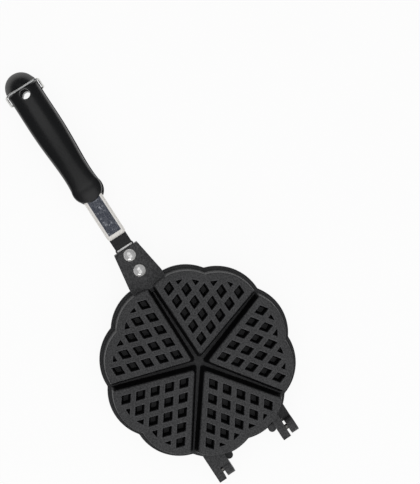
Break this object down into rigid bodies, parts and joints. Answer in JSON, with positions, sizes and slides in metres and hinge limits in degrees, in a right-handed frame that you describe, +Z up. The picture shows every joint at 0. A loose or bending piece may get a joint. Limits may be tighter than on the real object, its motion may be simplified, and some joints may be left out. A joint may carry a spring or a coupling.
{
  "type": "stovetop waffle iron",
  "caption": "Hinged cast waffle iron: heart-shaped pans with pits outside and studs inside, riveted handles and a wire bail that latches the grips.",
  "frame": {"origin": "middle of the footprint, on the surface that the lower pan rests on", "axes": "+X from the hinge to the grips, +Z up, with the pans shut"},
  "size_m": [0.4224, 0.185, 0.035],
  "materials": {
    "pan_casting": "dark grey non-stick coating, satin",
    "strap_steel": "black satin enamel",
    "rivet_metal": "polished",
    "ferrule_plating": "polished plating",
    "grip_resin": "glossy black moulded resin",
    "nut_brass": "plain",
    "screw_steel": "zinc plated",
    "pin_steel": "plain steel",
    "wire_steel": "plated wire"
  },
  "bodies": {
    "lower_half": {"lower_pan": "pan_casting", "lower_strap": "strap_steel", "lower_rivet_near": "rivet_metal", "lower_rivet_far": "rivet_metal", "lower_ferrule": "ferrule_plating", "lower_grip": "grip_resin", "lower_nut": "nut_brass", "lower_screw": "screw_steel", "hinge_pin_left": "pin_steel", "hinge_pin_right": "pin_steel"},
    "upper_half": {"upper_pan": "pan_casting", "upper_strap": "strap_steel", "upper_rivet_near": "rivet_metal", "upper_rivet_far": "rivet_metal", "upper_ferrule": "ferrule_plating", "upper_grip": "grip_resin", "upper_nut": "nut_brass", "upper_screw": "screw_steel"},
    "bail": {"latch_bail": "wire_steel"}
  },
  "joints": [
    {"name": "pan_hinge", "type": "hinge", "parent": "lower_half", "child": "upper_half", "pos_m": [-0.20318, 0, 0.0175], "axis": [0, -1, 0], "range_deg": [0, 125]},
    {"name": "bail_hinge", "type": "hinge", "parent": "lower_half", "child": "bail", "pos_m": [0.18812, -0.0005, 0.0065], "axis": [0, 1, 0], "range_deg": [0, 180]}
  ]
}
